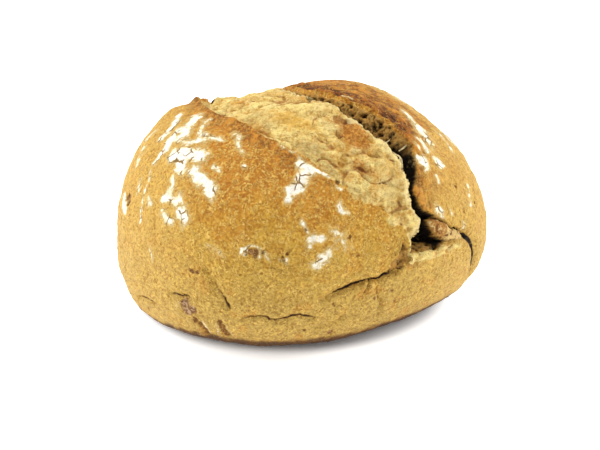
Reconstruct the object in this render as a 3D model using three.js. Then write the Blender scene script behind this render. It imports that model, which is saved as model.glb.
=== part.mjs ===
import * as THREE from 'three';

// A round rye sourdough loaf that burst as it baked, in millimetres, +Z up, its shown side toward -Y.
// One solid: the crust is a radius for every direction out of the loaf's heart, a flattened dome with
// a few swells, cut flat where it sat on the oven floor. The burst, the cracks and the creases are
// relief on that radius, laid out on a chart that measures millimetres over the crust.

// ---- sizes of the dome ----
const HEART = { x: -4.0, y: 3.0, z: 34.8 }; // the level of the belly, where the loaf is widest
const BELLY_RADIUS = 89.8;
const BELLY_OVAL = { along: 6.8, askew: 3.0 }; // wider than deep, and a little turned
const BELLY_CORNER = { along: 2.1, askew: 2.6 };
const CROWN_RISE = 79.0; // from the belly up to the crown
const CROWN_SQUARENESS = 2.28; // 2 would be an ellipse
const FOOT_DROP = 50.0; // how far down the foot would reach uncut
const FOOT_SQUARENESS = 2.05;
const SEAT_ROUNDING = 12; // a lower number rounds the edge of the seat more
const SEAT_SINK = 1.0;
const SWELL_SPREAD = 28; // degrees
// bulges and hollows of the hand-shaped dough: longitude, latitude in degrees, height
const SWELLS = [
  [0, 0, 6.4], [14, 27, -1.5], [42, 55, 0.9], [122, 61, -4.4],
  [157, 40, 3.2], [173, 14, 0.6], [187, -14, -2.4], [197, -31, 10.0],
];

// ---- the chart ----
const CHART_TILT = 50; // degrees up from the front to the chart's middle
const CHART_RADIUS = 90; // one radian round the heart is this far on the chart

// ---- the burst: each line in chart millimetres, right and up ----
const RIM_A = [[-34, 150], [-63, 130], [-66, 90], [-55, 60], [-42, 44], [-30, 35], [-15, 17.5], [3, 4.5], [24, -9.5], [50, -20], [69, -34]];
const RIDGE = [[-34, 150], [-17, 126], [-5, 94], [8, 71], [17, 59], [27.5, 46], [37.5, 33.5], [46, 26.5], [54, 17.5], [59.7, 10.6], [62.3, 5], [64.6, -3.3], [64.6, -9], [68.6, -14.3], [72.7, -20.9], [74.4, -25.5], [72.6, -31], [69, -34]];
const SHELF = [[69, -34], [70, -39.5], [72.2, -44.5], [74.8, -42.8], [79, -40.6], [86.6, -38.1], [92.5, -36], [96.5, -31.9], [100.7, -28.5], [106.2, -25], [112.4, -20.4], [115, -19]];
const RIM_C = [[-34, 150], [-15, 128], [-1, 98], [14, 72], [28.4, 59], [39, 51.6], [50.8, 44], [56.3, 37], [60.8, 30.4], [65, 24.6], [68.2, 19.4], [69, 13], [69.5, 5], [68.4, -2.5], [67.6, -6.5], [70.7, -10.1], [74, -12], [80.4, -14], [86, -13.8], [93.5, -15.3], [106.3, -15.3], [113.2, -16.4], [115, -19]];
const FLAKE = [[81.3, -18.7], [82.6, -15.9], [87.9, -16.5], [96.7, -17.2], [104.6, -16.8], [109, -17], [112.2, -18.5], [107.9, -22.3], [101.6, -26], [95.2, -26.4], [89.7, -25.6], [84.7, -23]];
const TORN_BAND = [[66.5, -34.5], [71.5, -41], [72.5, -46], [68.8, -51], [64.5, -56], [60, -55], [61, -48], [63, -42]];
// cracks and creases: line, depth, half width
const GROOVES = [
  [[[65.5, -54], [53.3, -60.6], [44.2, -63.3], [34.7, -66.3], [15.8, -74.2]], 3, 2],
  [[[50, -62], [46.5, -68], [45.4, -72]], 1.6, 1.3],
  [[[112.2, -18.3], [120.2, -20], [124.2, -23.5], [126, -28.2], [131.1, -33.6], [132, -37]], 3, 2.2],
  [[[54.9, -66.3], [60, -74.4], [61.4, -82.4], [60.1, -90.9]], 1.6, 2],
  [[[-32.8, -82.2], [-21.7, -80.6], [-11.7, -85.5], [0, -83.4], [12.9, -84.2], [22, -86.6]], 1.6, 2],
  [[[14, -91.9], [27.2, -89.7], [38.8, -83.2]], 1.6, 2.2],
  [[[-47.7, -51.5], [-43.8, -60.3], [-40.5, -68.3], [-37.8, -74.5], [-36.9, -81]], 1.5, 2.2],
  [[[-109, -59.7], [-96.5, -63.4], [-86.3, -67.2]], 2, 1.8],
  [[[-74, -61.3], [-64.9, -65.6], [-57.7, -68.7]], 1.8, 1.6],
];
// depth below the crust along the crevice's front lip, from its far end to its near end
const CREVICE_DEPTH = [[0, 3], [0.3, 7], [0.42, 13], [0.55, 18], [0.75, 22], [0.9, 22], [1, 19]];
const SHELF_DEPTH = [[0, 9], [0.35, 15], [0.8, 12], [1, 3]];
const LIP_WALL = 3.5; // the front lip's wall is this wide on the chart
const SHELF_WALL = 8.0;
const BACK_WALL = [[0, 9], [0.4, 12], [0.62, 14], [0.72, 7], [0.8, 3.5], [1, 3]]; // the far wall, wide above and steep below
// the right crust stands over the rest: longitude, latitude, height and spread in degrees
const FLAP = { longitude: 58, latitude: 50, height: 5.8, spread: 26 };
const FLAP_EDGE = 2.4; // its torn edge is raised this much more
// torn scraps and knobs on the left shoulder: chart place, height, radius
const KNOBS = [[-65, 79, 2.4, 4.5], [-52, 78, 1.6, 3], [-84, 74, 2.6, 13]];

// ---- mesh sizes ----
const START_DETAIL = 8;
const PLAIN_EDGE = 9.5;
const BAND_EDGE = 5.2;
const CREASE_EDGE = 3.8;
const CREVICE_EDGE = 3.1;
const LEAST_STEP = 1.5;

const clamp = (x, a, b) => Math.min(Math.max(x, a), b);
const ease = (x) => { const t = clamp(x, 0, 1); return t * t * (3 - 2 * t); };
const rad = THREE.MathUtils.degToRad;

function along(table, x) {
  let i = 0;
  while (i < table.length - 2 && x > table[i + 1][0]) i += 1;
  const [x0, y0] = table[i];
  const [x1, y1] = table[i + 1];
  return y0 + (y1 - y0) * clamp((x - x0) / (x1 - x0), 0, 1);
}

// a smooth line through a few points
function curve(points, steps = 5) {
  const out = [];
  for (let i = 0; i < points.length - 1; i += 1) {
    const a = points[Math.max(i - 1, 0)];
    const b = points[i];
    const c = points[i + 1];
    const d = points[Math.min(i + 2, points.length - 1)];
    for (let k = 0; k < steps; k += 1) {
      const t = k / steps;
      out.push([0, 1].map((m) => 0.5 * (2 * b[m] + (c[m] - a[m]) * t + (2 * a[m] - 5 * b[m] + 4 * c[m] - d[m]) * t * t
        + (3 * b[m] - a[m] - 3 * c[m] + d[m]) * t * t * t)));
    }
  }
  out.push(points[points.length - 1]);
  return out;
}

// how far a chart point is from a line, on which side, and how far along it (0 to 1)
function near(u, v, line) {
  let best = { gap: 1e9, side: 1, at: 0 };
  let run = 0;
  const lengths = line.slice(1).map((p, i) => Math.hypot(p[0] - line[i][0], p[1] - line[i][1]));
  const total = lengths.reduce((a, b) => a + b, 0);
  lengths.forEach((length, i) => {
    const [ax, ay] = line[i];
    const bx = line[i + 1][0] - ax;
    const by = line[i + 1][1] - ay;
    const t = clamp(((u - ax) * bx + (v - ay) * by) / (length * length), 0, 1);
    const gap = Math.hypot(u - ax - bx * t, v - ay - by * t);
    if (gap < best.gap) best = { gap, side: Math.sign(bx * (v - ay) - by * (u - ax)), at: (run + length * t) / total };
    run += length;
  });
  return best;
}

function inside(u, v, ring) {
  let within = false;
  ring.forEach(([x1, y1], i) => {
    const [x2, y2] = ring[(i + 1) % ring.length];
    if ((y1 > v) !== (y2 > v) && u < ((x2 - x1) * (v - y1)) / (y2 - y1) + x1) within = !within;
  });
  return within;
}

// even, repeatable unevenness of the dough: -1 to 1, over lumps about one unit wide
function lattice(i, j, k) {
  let n = ((i & 63) * 374761393 + (j & 63) * 668265263 + (k & 63) * 1274126177) % 4294967296;
  n = Math.imul(n ^ (n >>> 13), 1103515245) >>> 0;
  return (((n ^ (n >>> 16)) & 0xffff) / 65535) * 2 - 1;
}
function lumps(d, size, shift) {
  const p = [d.x, d.y, d.z].map((c) => (c * 85) / size + shift);
  const i = p.map(Math.floor);
  const f = p.map((c, m) => ease(c - i[m]));
  let sum = 0;
  for (let a = 0; a < 2; a += 1) {
    for (let b = 0; b < 2; b += 1) {
      for (let c = 0; c < 2; c += 1) {
        sum += (a ? f[0] : 1 - f[0]) * (b ? f[1] : 1 - f[1]) * (c ? f[2] : 1 - f[2]) * lattice(i[0] + a, i[1] + b, i[2] + c);
      }
    }
  }
  return sum;
}

const LINE_A = curve(RIM_A);
const LINE_RIDGE = curve(RIDGE);
const LINE_SHELF = curve(SHELF);
const LINE_C = curve(RIM_C);
const BURST = [...LINE_A, ...[...LINE_RIDGE].reverse().slice(1)];
const CREVICE = [...LINE_RIDGE, ...LINE_SHELF.slice(1), ...[...LINE_C].reverse().slice(1)];
const CRACKS = GROOVES.map(([points, depth, width]) => ({ line: curve(points), depth, width }));
const closed = (ring) => [...ring, ring[0]];

const FRONT = new THREE.Vector3(0, -Math.cos(rad(CHART_TILT)), Math.sin(rad(CHART_TILT)));
const CHART_UP = new THREE.Vector3(0, Math.sin(rad(CHART_TILT)), Math.cos(rad(CHART_TILT)));

function chart(d) {
  const out = CHART_RADIUS * Math.acos(clamp(d.dot(FRONT), -1, 1));
  const up = d.dot(CHART_UP);
  const span = Math.hypot(d.x, up) + 1e-12;
  return [(out * d.x) / span, (out * up) / span];
}

function swell(d, { longitude, latitude, height, spread }) {
  const to = new THREE.Vector3(
    Math.cos(rad(latitude)) * Math.cos(rad(longitude)),
    Math.cos(rad(latitude)) * Math.sin(rad(longitude)),
    Math.sin(rad(latitude)),
  );
  return height * Math.exp(-((Math.acos(clamp(d.dot(to), -1, 1)) / rad(spread)) ** 2));
}

function dome(d) {
  const turn = Math.atan2(d.y, d.x);
  const flat = Math.sqrt(Math.max(1 - d.z * d.z, 1e-9));
  const belly = BELLY_RADIUS + BELLY_OVAL.along * Math.cos(2 * turn) + BELLY_OVAL.askew * Math.sin(2 * turn)
    + BELLY_CORNER.along * Math.cos(3 * turn) + BELLY_CORNER.askew * Math.sin(3 * turn);
  const [reach, n] = d.z >= 0 ? [CROWN_RISE, CROWN_SQUARENESS] : [FOOT_DROP, FOOT_SQUARENESS];
  let r = ((flat / belly) ** n + (Math.abs(d.z) / reach) ** n) ** (-1 / n);
  SWELLS.forEach(([longitude, latitude, height]) => { r += swell(d, { longitude, latitude, height, spread: SWELL_SPREAD }); });
  return r;
}

// where a direction lies in the burst, with the lines made a little ragged
function place(d) {
  const [u0, v0] = chart(d);
  const u = u0 + 1.1 * lumps(d, 7, 11) + 0.6 * lumps(d, 3, 5);
  const v = v0 + 1.1 * lumps(d, 7, 23) + 0.6 * lumps(d, 3, 31);
  const a = near(u, v, LINE_A);
  const ridge = near(u, v, LINE_RIDGE);
  const shelf = near(u, v, LINE_SHELF);
  const c = near(u, v, LINE_C);
  const burst = inside(u, v, BURST);
  const crevice = inside(u, v, CREVICE);
  const flap = !burst && !crevice && c.side > 0 && c.gap < a.gap;
  return { u, v, u0, v0, a, ridge, shelf, c, burst, crevice, flap };
}

function relief(d, p) {
  const { u, v, u0, v0, a, ridge, shelf, c } = p;
  const lift = swell(d, FLAP);
  const edge = FLAP_EDGE * ease((c.at - 0.28) / 0.2) * (1 - ease((c.at - 0.6) / 0.38));
  let h = 0;
  if (p.crevice) {
    const front = Math.min(ridge.gap, shelf.gap);
    const depth = shelf.gap < ridge.gap ? along(SHELF_DEPTH, shelf.at) : along(CREVICE_DEPTH, ridge.at);
    h = ((lift + edge) * front) / (front + c.gap + 1e-6)
      - depth * Math.min(ease(front / (shelf.gap < ridge.gap ? SHELF_WALL : LIP_WALL)), clamp(c.gap / along(BACK_WALL, ridge.at), 0, 1) ** 0.8)
      + 1.2 * lumps(d, 5, 17) * ease(front / 2) * ease(c.gap / 2);
  } else if (p.burst) {
    // the bloom: sunk beside the smooth crust, swelling up to the lip of the crevice
    const share = a.gap / (a.gap + ridge.gap + 1e-6);
    h = ease(a.gap / 1.6) * (-1.9 * (1 - 0.55 * ease(a.at)) * (1 - ease(a.gap / 14)) + 1.6 * ease(share * 1.6 - 0.5)
      - 2.6 * (1 - ease(ridge.gap / 3.2)) * ease((ridge.at - 0.25) / 0.12) + 0.9 * lumps(d, 9, 3) + 0.5 * lumps(d, 4.5, 9));
  } else {
    const right = ease(0.5 + (a.gap - c.gap) / 24);
    h = lift * right;
    if (c.side > 0) h += edge * right * Math.exp(-((c.gap / 16) ** 2));
    if (!p.flap) h += 0.9 * Math.exp(-((a.gap / 5) ** 2)) * (1 - ease((a.at - 0.62) / 0.2));
  }
  KNOBS.forEach(([x, y, height, radius]) => { h += height * Math.exp(-((Math.hypot(u0 - x, v0 - y) / radius) ** 2)); });
  if (inside(u, v, FLAKE)) {
    const edge = near(u, v, closed(FLAKE)).gap;
    h = Math.max(h, -0.8 - 0.6 * (1 - ease(edge / 2)) + ease(edge / 4) - 8 * (1 - ease(edge / 0.9)));
  }
  if (inside(u, v, TORN_BAND)) {
    h -= 3.2 * ease(near(u, v, closed(TORN_BAND)).gap / 2.5) + 0.9 * lumps(d, 3.5, 41);
  }
  CRACKS.forEach(({ line, depth, width }) => {
    const groove = near(u, v, line);
    h -= depth * Math.exp(-((groove.gap / width) ** 2)) * Math.min(1, (1 - groove.at) * 4 + 0.3);
  });
  return h + (p.crevice ? 0.3 : 1) * (0.9 * lumps(d, 30, 50) + 0.45 * lumps(d, 11, 60));
}

function onCrust(d) {
  const p = place(d);
  let r = dome(d) + relief(d, p) * ease((d.z + 0.52) / 0.1);
  if (d.z < -1e-3) {
    const seat = HEART.z / -d.z;
    const soft = (HEART.z + SEAT_SINK) / -d.z;
    r = Math.min((r ** -SEAT_ROUNDING + soft ** -SEAT_ROUNDING) ** (-1 / SEAT_ROUNDING), seat);
  }
  return { d, p, at: new THREE.Vector3(HEART.x + d.x * r, HEART.y + d.y * r, HEART.z + d.z * r) };
}

// how long an edge may be there
function edgeLimit({ d, p }) {
  if (d.z < -0.55) return PLAIN_EDGE * 1.4;
  if (p.crevice) return CREVICE_EDGE;
  const rim = Math.min(p.ridge.gap, p.shelf.gap, p.c.gap);
  const crease = Math.min(p.a.gap, near(p.u, p.v, closed(TORN_BAND)).gap, ...CRACKS.map(({ line }) => near(p.u, p.v, line).gap));
  return Math.min(
    p.burst ? BAND_EDGE : PLAIN_EDGE,
    CREVICE_EDGE + 0.5 * Math.max(rim - 2, 0),
    CREASE_EDGE + 0.6 * Math.max(crease - 2.5, 0),
  );
}

// ---- the mesh: a sphere of directions, split where the relief is fine ----
const start = new THREE.IcosahedronGeometry(1, START_DETAIL).getAttribute('position');
const points = [];
const byKey = new Map();
let faces = [];
for (let i = 0; i < start.count; i += 3) {
  faces.push([0, 1, 2].map((m) => {
    const d = new THREE.Vector3().fromBufferAttribute(start, i + m).normalize();
    const key = [d.x, d.y, d.z].map((c) => Math.round(c * 1e5)).join();
    if (!byKey.has(key)) {
      byKey.set(key, points.length);
      points.push(onCrust(d));
    }
    return byKey.get(key);
  }));
}

let splits = 1;
while (splits > 0) {
  const middles = new Map();
  const middle = (a, b) => {
    const key = a < b ? `${a},${b}` : `${b},${a}`;
    if (!middles.has(key)) {
      const [p, q] = [points[a], points[b]];
      const half = onCrust(p.d.clone().add(q.d).normalize());
      const limit = edgeLimit(half);
      const long = p.at.distanceTo(q.at) > limit && p.d.distanceTo(q.d) * CHART_RADIUS > 2 * LEAST_STEP;
      middles.set(key, long ? points.push(half) - 1 : -1);
    }
    return middles.get(key);
  };
  const next = [];
  splits = 0;
  faces.forEach(([a, b, c]) => {
    const [ab, bc, ca] = [middle(a, b), middle(b, c), middle(c, a)];
    const cut = [ab, bc, ca].filter((m) => m >= 0).length;
    splits += cut;
    if (cut === 0) next.push([a, b, c]);
    else if (cut === 3) next.push([a, ab, ca], [ab, b, bc], [ca, bc, c], [ab, bc, ca]);
    else {
      // turn the face so that its first edge is cut and, with two cuts, its second too
      let [p, q, r, pq, qr, rp] = [a, b, c, ab, bc, ca];
      while (!(pq >= 0 && (cut === 1 || qr >= 0))) [p, q, r, pq, qr, rp] = [q, r, p, qr, rp, pq];
      if (cut === 1) next.push([p, pq, r], [pq, q, r]);
      else if (points[p].at.distanceTo(points[qr].at) < points[pq].at.distanceTo(points[r].at)) next.push([pq, q, qr], [p, pq, qr], [p, qr, r]);
      else next.push([pq, q, qr], [p, pq, r], [pq, qr, r]);
    }
  });
  faces = next;
}

const box = new THREE.Box3().setFromPoints(points.map((p) => p.at));
const middleOfBox = box.getCenter(new THREE.Vector3());
const positions = new Float32Array(points.length * 3);
points.forEach(({ at }, i) => positions.set([at.x - middleOfBox.x, at.y - middleOfBox.y, Math.max(at.z - box.min.z, 0)], 3 * i));
const geometry = new THREE.BufferGeometry();
geometry.setAttribute('position', new THREE.BufferAttribute(positions, 3));
geometry.setIndex(faces.flat());
geometry.computeVertexNormals();

const crust = new THREE.MeshStandardMaterial({ color: '#c08a45', roughness: 0.85, metalness: 0 });
const loaf = new THREE.Mesh(geometry, crust);
loaf.name = 'loaf';

const group = new THREE.Group();
group.add(loaf);

export default group;
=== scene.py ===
import math

import bpy
import numpy as np
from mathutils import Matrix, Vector


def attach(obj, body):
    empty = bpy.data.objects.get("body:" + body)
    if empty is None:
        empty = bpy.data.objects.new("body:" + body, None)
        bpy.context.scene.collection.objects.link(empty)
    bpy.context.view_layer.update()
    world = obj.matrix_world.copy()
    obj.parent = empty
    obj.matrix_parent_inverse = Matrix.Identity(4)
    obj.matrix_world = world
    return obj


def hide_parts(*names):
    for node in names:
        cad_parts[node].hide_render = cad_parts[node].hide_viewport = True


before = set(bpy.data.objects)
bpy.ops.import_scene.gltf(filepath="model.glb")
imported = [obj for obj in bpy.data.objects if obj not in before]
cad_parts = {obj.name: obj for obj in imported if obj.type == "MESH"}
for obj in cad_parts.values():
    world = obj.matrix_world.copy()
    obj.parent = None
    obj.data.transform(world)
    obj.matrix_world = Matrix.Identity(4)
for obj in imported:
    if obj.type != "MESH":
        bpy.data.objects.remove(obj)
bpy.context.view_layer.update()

# A round rye sourdough loaf. Lengths here are millimetres until the mesh is made.
# The form is the one of the solid: a radius for every direction out of the loaf's heart.
HEART = np.array([-4.6, 3.2, 34.8])
BELLY_RADIUS = 89.8
CROWN_RISE, CROWN_SQUARENESS = 79.0, 2.28
FOOT_DROP, FOOT_SQUARENESS = 50.0, 2.05
SEAT_ROUNDING, SEAT_SINK = 12, 1.0
LOAF_HEIGHT = 115
SWELL_SPREAD = 28
SWELLS = [  # longitude, latitude, height
    (0, 0, 6.4), (14, 27, -1.5), (42, 55, 0.9), (122, 61, -4.4),
    (157, 40, 3.2), (173, 14, 0.6), (187, -14, -2.4), (197, -31, 10.0),
]
FLAP = (58, 50, 5.8, 26)  # longitude, latitude, height, spread
FLAP_EDGE = 2.4
KNOBS = [(-65, 79, 2.4, 4.5), (-52, 78, 1.6, 3), (-84, 74, 2.6, 13)]  # chart place, height, radius
CHART_TILT = 50
CHART_RADIUS = 90

# Lines of the burst on the chart, in millimetres right and up.
RIM_A = [
    (-34, 150), (-63, 130), (-66, 90), (-55, 60), (-42, 44), (-30, 35), (-15, 17.5), (3, 4.5), (24, -9.5),
    (50, -20), (69, -34),
]
RIDGE = [
    (-34, 150), (-17, 126), (-5, 94), (8, 71), (17, 59), (27.5, 46), (37.5, 33.5), (46, 26.5), (54, 17.5),
    (59.7, 10.6), (62.3, 5), (64.6, -3.3), (64.6, -9), (68.6, -14.3), (72.7, -20.9), (74.4, -25.5),
    (72.6, -31), (69, -34),
]
SHELF = [
    (69, -34), (70, -39.5), (72.2, -44.5), (74.8, -42.8), (79, -40.6), (86.6, -38.1), (92.5, -36),
    (96.5, -31.9), (100.7, -28.5), (106.2, -25), (112.4, -20.4), (115, -19),
]
RIM_C = [
    (-34, 150), (-15, 128), (-1, 98), (14, 72), (28.4, 59), (39, 51.6), (50.8, 44), (56.3, 37), (60.8, 30.4),
    (65, 24.6), (68.2, 19.4), (69, 13), (69.5, 5), (68.4, -2.5), (67.6, -6.5), (70.7, -10.1), (74, -12),
    (80.4, -14), (86, -13.8), (93.5, -15.3), (106.3, -15.3), (113.2, -16.4), (115, -19),
]
FLAKE = [
    (80.8, -18.4), (82.2, -15.2), (87.9, -15.5), (96.7, -16.4), (104.6, -16.3), (109, -16.6), (112.2, -18.5),
    (107.9, -22.3), (101.6, -26), (95.2, -26.4), (89.7, -25.6), (84.7, -23),
]
TORN_BAND = [
    (66.5, -34.5), (71.5, -41), (72.5, -46), (68.8, -51), (64.5, -56), (60, -55), (61, -48), (63, -42),
]
# line, depth, half width, and darkness at its start and end: browner crust in the groove and painted shade
# down in it
GROOVES = [
    ([(65.5, -54), (53.3, -60.6), (44.2, -63.3), (34.7, -66.3), (15.8, -74.2)], 3, 2, 1, 1),
    ([(50, -62), (46.5, -68), (45.4, -72)], 1.6, 1.3, 1, 1),
    ([(109.4, -16.8), (114.6, -17.6), (120.2, -20), (124.2, -23.5), (126, -28.2), (131.1, -33.6), (133, -38)],
        3, 2.9, 2.0, 2.4),
    ([(54.9, -66.3), (60, -74.4), (61.4, -82.4), (60.1, -90.9)], 1.6, 2, 0.6, 0.4),
    ([(-32.8, -82.2), (-21.7, -80.6), (-11.7, -85.5), (0, -83.4), (12.9, -84.2), (22, -86.6)],
        1.6, 2, 0.7, 0.9),
    ([(14, -91.9), (27.2, -89.7), (38.8, -83.2)], 1.6, 2.2, 0.35, 0.5),
    ([(-47.7, -51.5), (-43.8, -60.3), (-40.5, -68.3), (-37.8, -74.5), (-36.9, -81)], 1.5, 2.2, 0.1, 1.2),
    ([(-109, -59.7), (-96.5, -63.4), (-86.3, -67.2)], 2, 1.8, 1, 0.7),
    ([(-74, -61.3), (-64.9, -65.6), (-57.7, -68.7)], 1.8, 1.6, 0.9, 0.9),
]
# shallow folds of the skin, darkened the same way with painted shade
WRINKLES = [
    ([(-17.5, -51.3), (-13.2, -53.7), (-6.3, -56), (-2, -60)], 0.6, 1.0, 0.5, 0.6),
    ([(-12.7, -50.1), (-4.5, -52.6), (0.8, -57.7), (2, -62)], 0.6, 1.0, 0.6, 0.5),
    ([(3, -60), (9, -57), (14, -59)], 0.5, 1.0, 0.5, 0.5),
    ([(-92, -30), (-84, -34), (-79, -42)], 0.5, 1.2, 0.4, 0.4),
    ([(-58.2, -65.7), (-51.6, -68.1)], 0.6, 1.0, 0.6, 0.6),
    ([(-8, -79), (-5, -76), (2, -76)], 0.5, 1.0, 0.4, 0.4),
]
# share of the way along, millimetres
CREVICE_DEPTH = [(0, 3), (0.3, 7), (0.42, 13), (0.55, 18), (0.75, 22), (0.9, 22), (1, 19)]
SHELF_DEPTH = [(0, 9), (0.35, 15), (0.8, 12), (1, 3)]
LIP_WALL, SHELF_WALL = 3.5, 8.0
BACK_WALL = [(0, 9), (0.4, 12), (0.62, 14), (0.72, 7), (0.8, 3.5), (1, 3)]
DARK_BAND = [(0.35, 1), (0.5, 2.2), (0.6, 4), (0.67, 7), (0.72, 12), (1, 14)]

# Flour: strokes on the chart from (u, v) to (u, v), half width, strength.
FLOUR = [
    (-75, 47, -72, 56, 2.6, 1), (-72, 50, -79, 37, 2.6, 1), (-69, 37, -73, 31, 3.2, 1),
    (-72, 29, -74, 22, 2.6, 1), (-76, 22, -80, 18, 2.2, 1), (-66, 29, -60, 48, 4.2, 0.9),
    (-59, 23, -50, 23, 3.2, 0.9), (-54, 31, -52, 41, 2.4, 0.7), (-52, 27, -41, 19, 2.6, 0.75),
    (-66, 16, -51, 10, 4.6, 1), (-60, 11, -61, 5, 3.8, 1), (-52, 1, -42, -14, 3.6, 1),
    (-66, 0, -66, -9, 2.6, 0.8), (-68, -11, -61, -13, 3.0, 0.9), (-60, -19, -57, -25, 3.4, 1),
    (-71, -19, -66, -24, 2.6, 0.85), (-109, 9, -105, -2, 2.8, 1), (-91, 8, -92, 2, 2.0, 0.8),
    (-82, -6, -81, -10, 1.8, 0.7), (-82, 13, -89, -18, 0.8, 0.75), (-84, -34, -83, -41, 1.5, 0.62),
    (-42, 2, -39, -1, 1.6, 0.8), (-25, -1, -24, -2, 1.2, 0.75), (-32, 23, -28, 8, 2.4, 0.62),
    (5, 0, 8, -4, 3.4, 0.9), (6, -4, 3, -14, 3.2, 1), (5, -11, -1, -16, 3.2, 1),
    (-2, -16, -3, -21, 2.4, 0.9), (11, -2, 18, -7, 1.4, 0.85), (25, -21, 28, -25, 2.0, 0.85),
    (23, -12, 26, -14, 1.6, 0.7), (5, -31, 7, -36, 1.4, 0.8), (9, -40, 15, -40, 2.6, 0.85),
    (9, -42, 8, -45, 1.8, 0.75), (11, -54, 19, -48, 2.3, 0.9), (23, -36, 29, -44, 3.6, 0.55),
    (-7, 12, 1, 8, 1.8, 0.7), (-44, -41, -42, -43, 2.0, 0.5), (-39, -45, -37, -48, 1.8, 0.6),
    (-27, -43.6, -27, -46.7, 0.9, 0.8), (-25, -43.6, -25, -47.8, 0.9, 0.9),
    (-6.5, -51, -3.5, -51, 1.2, 0.62), (69, 60, 73, 52, 3.4, 0.75), (76, 45, 80, 34, 4.2, 0.9),
    (73, 31, 76, 24, 3.2, 0.8), (72, 14, 75, 12, 3.0, 1), (83, 21, 86, 18, 2.6, 1), (83, 9, 84, 5, 1.4, 0.7),
    (86, -11, 89, -15, 2.2, 0.85), (96, -7, 98, -10, 1.4, 0.7), (106, -11, 108, -13, 1.4, 0.7),
    (108, 16, 111, 4, 1.8, 0.7), (-56, -82, -57, -91, 1.3, 0.68), (-47.6, -84, -49, -93, 1.0, 0.7),
    (-40.6, -87, -41.6, -95, 1.0, 0.66), (-66, -66, -70, -70, 1.3, 0.5),
    (-24, -43.4, -19.4, -44.6, 0.8, 0.8), (-19.4, -44.6, -16.4, -46.4, 0.8, 0.8),
    (-18.4, -45.6, -18, -49, 0.7, 0.8), (-15, -48, -13.6, -51, 1.2, 0.66), (30, 60, 34, 58, 1.2, 0.5),
    (68, 24, 70, 20, 1.5, 0.6), (-92, 38, -97, 24, 2.4, 0.6), (-88, 50, -93, 44, 2.2, 0.7),
    (92, 50, 99, 38, 2.2, 0.6), (98, 60, 104, 50, 3.0, 0.7), (-100, 90, -112, 70, 5, 0.9),
    (-90, 112, -100, 104, 4, 0.9), (-118, 100, -126, 84, 3.4, 0.8), (60, 96, 76, 84, 5, 0.9),
    (40, 118, 52, 108, 4.5, 0.9), (84, 92, 96, 80, 4, 0.8), (70, 128, 84, 116, 4, 0.8),
    (10, 150, 24, 140, 4, 0.8), (-70, 150, -84, 138, 3.5, 0.8), (112, 96, 120, 82, 3, 0.7),
]
# Brown scars where the crust caught: chart place, radius, depth, purple share.
SCARS = [
    (-64, -69, 4.2, 0.5, 1), (-64, -74, 3.8, 0.5, 1), (-60, -73, 3.4, 0.4, 1), (-63.5, -80.5, 2.6, 1.1, 0),
    (-60.4, -83.6, 2.8, 1.3, 0), (-60, -87.6, 2.6, 1.3, 0), (-59.4, -91.5, 2.4, 1.1, 0),
    (-45.6, -83.4, 2.6, 1.2, 0), (-44.6, -87, 3.0, 1.4, 0), (-44.4, -91, 2.8, 1.4, 0),
    (-44.4, -94.6, 2.4, 1.2, 0), (-56, -52.6, 2.0, 0.5, 0.3), (-53.4, -53.4, 1.4, 0.4, 0.3),
    (38, -47, 1.3, 0.8, 0), (31, -39, 1.1, 0.6, 0), (26, -78, 1.4, 0.6, 0), (7, -93, 1.5, 0.6, 0),
    (27, -99, 2.4, 0.9, 0.3), (10, -19, 1.1, 0.8, 0), (24, -9, 1.8, 1.6, 0), (98, 9, 1.2, 0.7, 0),
    (106, -3, 1.1, 0.6, 0), (116, 8, 1.2, 0.7, 0), (-122, -45, 1.4, 0.7, 0.2), (-102.4, 4.4, 2.6, 1.2, 0),
    (-102, 0.6, 2.4, 1.2, 0), (54, -72, 1.3, 0.4, 0.2), (66, -66, 1.5, 0.4, 0.2), (71, -72, 1.2, 0.4, 0.2),
    (-5.6, -49.4, 1.1, 1.0, 0), (-3.4, -47.6, 1.2, 1.0, 0), (-1.6, -46, 1.1, 0.9, 0),
    (-22.6, -46.6, 2.0, 0.5, 0.4), (-20, -47.4, 2.0, 0.6, 0.4), (-16.2, -47, 1.3, 0.8, 0),
    (-47, 47, 2.2, 0.9, 0), (-44, 45, 1.6, 0.7, 0),
]
# Places of the crust that browned more: chart place, radius, strength.
BROWNED = [
    (74, -47, 4, 0.8), (83, 3, 9, 0.4), (80, -9, 6, 0.45), (93, 20, 10, 0.3), (-52, 80, 9, 0.8),
    (-60, 62, 14, 0.5), (20, -2, 12, 0.4),
]
# Brown marks on the bloom: chart place, reach along and across, lean in degrees, strength.
MARKS = [
    (38, 1, 5, 1.6, -20, 1), (15, 17, 4, 1.5, -30, 0.8), (31, 33, 6, 3.2, -45, 0.8), (3, 76, 6, 2.4, 0, 1),
    (-6, 68, 4, 1.4, 0, 0.9), (-16, 74, 5, 1.3, 10, 0.8), (-26, 66, 3, 1.2, 0, 0.8),
    (8, 52, 4, 1.2, -10, 0.7), (-8, 50, 5, 1.2, -15, 0.6), (26, 22, 5, 1.3, -30, 0.7),
    (44, 20, 4, 1.2, -40, 0.6), (30, 8, 4, 1.2, -20, 0.7), (50, -4, 5, 1.4, -30, 0.7),
    (60, -14, 3, 1.2, -40, 0.7), (-18, 40, 4, 1.0, -30, 0.5), (53, 8, 3, 1.0, -10, 0.9),
    (34, -13, 5, 2.0, -25, 0.5), (52, -20, 4, 1.4, -20, 0.9), (62, -26, 2.6, 1.0, 0, 0.9),
    (-22, 66, 1.6, 4, 10, 0.6), (-14, 59, 2.5, 1.5, 0, 0.5), (46, -15, 3, 0.9, -10, 0.7),
    (20, 40, 5, 2.5, -40, 0.4), (10, 24, 3, 1.5, 0, 0.4), (58, -34, 3, 1.2, 0, 0.5),
    (-40, 90, 4, 3, 20, 0.5), (-28, 112, 5, 3, 60, 0.6),
]

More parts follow.
